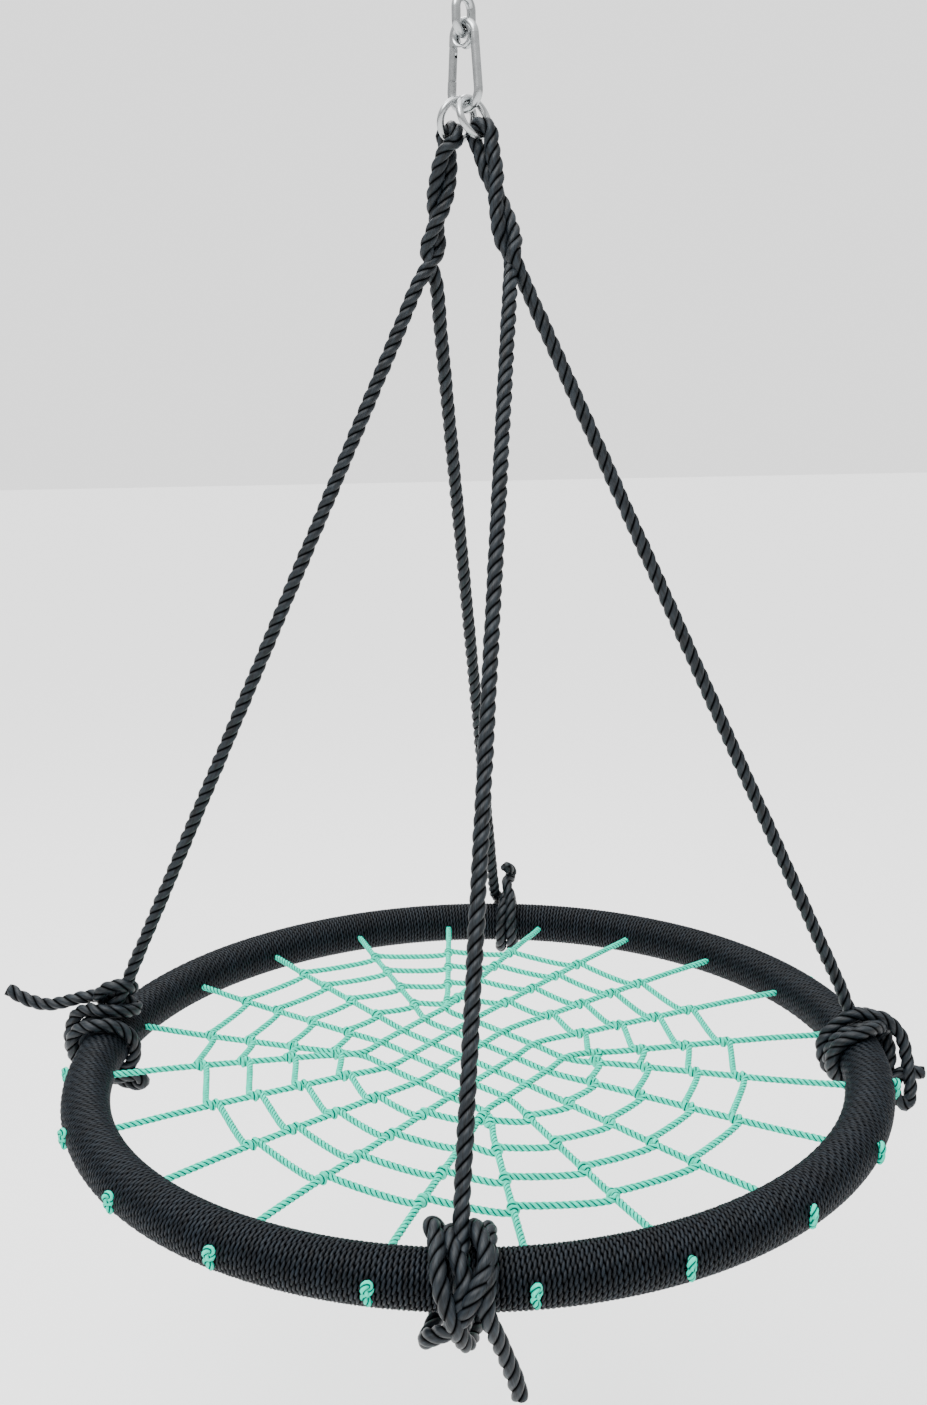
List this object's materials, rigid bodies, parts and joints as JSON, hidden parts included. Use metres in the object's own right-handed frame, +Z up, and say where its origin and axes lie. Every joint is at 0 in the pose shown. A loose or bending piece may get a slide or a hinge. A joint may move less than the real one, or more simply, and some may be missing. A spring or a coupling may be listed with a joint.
{
  "type": "round net swing",
  "caption": "Round cord-wound hoop with a knotted net seat, hung by two doubled ropes, steel rings and a snap hook.",
  "frame": {"origin": "where the top link bears on whatever carries the swing: the inner top of the link", "axes": "+Z up; +X to the right and -Y towards the viewer, with the spine of the snap hook to the right and in front"},
  "size_m": [1.1564, 1.0492, 1.3476],
  "materials": {
    "zinc_steel": "zinc-plated steel wire, semi-gloss",
    "spring_steel": "plain spring wire",
    "tube_steel": "powder-coated steel tube, hidden under the padding",
    "padding": "soft foam sleeve, hidden under the cord",
    "black_cord": "twisted polyethylene cord, slightly glossy",
    "black_rope": "three-strand laid polyethylene rope, slightly glossy",
    "net_rope": "three-strand laid polyethylene rope, slightly glossy"
  },
  "bodies": {
    "link": {"hang_link": "zinc_steel"},
    "hook": {"snap_hook": "zinc_steel", "hook_eyelet": "zinc_steel"},
    "gate": {"hook_gate": "zinc_steel", "gate_pin": "zinc_steel", "gate_plunger": "zinc_steel", "gate_spring": "spring_steel"},
    "seat": {"steel_ring_left": "zinc_steel", "steel_ring_right": "zinc_steel", "hanging_rope_left": "black_rope", "hanging_rope_right": "black_rope", "hoop_tube": "tube_steel", "hoop_padding": "padding", "hoop_winding": "black_cord", "net_rope_a1": "net_rope", "net_rope_a2": "net_rope", "net_rope_a3": "net_rope", "net_rope_a4": "net_rope", "net_rope_a5": "net_rope", "net_rope_b1": "net_rope", "net_rope_b2": "net_rope", "net_rope_b3": "net_rope", "net_rope_b4": "net_rope", "net_rope_b5": "net_rope", "net_ring_1": "net_rope", "net_ring_2": "net_rope", "net_ring_3": "net_rope", "net_ring_4": "net_rope"}
  },
  "joints": [
    {"name": "hook_sway", "type": "hinge", "parent": "link", "child": "hook", "pos_m": [0, 0, -0.033], "axis": [0.6428, 0.766, 0], "range_deg": [-50, 50]},
    {"name": "gate_open", "type": "hinge", "parent": "hook", "child": "gate", "pos_m": [-0.01211, 0.01016, -0.05001], "axis": [-0.6428, -0.766, 0], "range_deg": [0, 28], "stiffness_Nm_per_rad": 0.2, "springref_deg": -17.19},
    {"name": "seat_sway", "type": "hinge", "parent": "hook", "child": "seat", "pos_m": [0, 0, -0.1106], "axis": [0.766, -0.6428, 0], "range_deg": [-45, 45]}
  ]
}
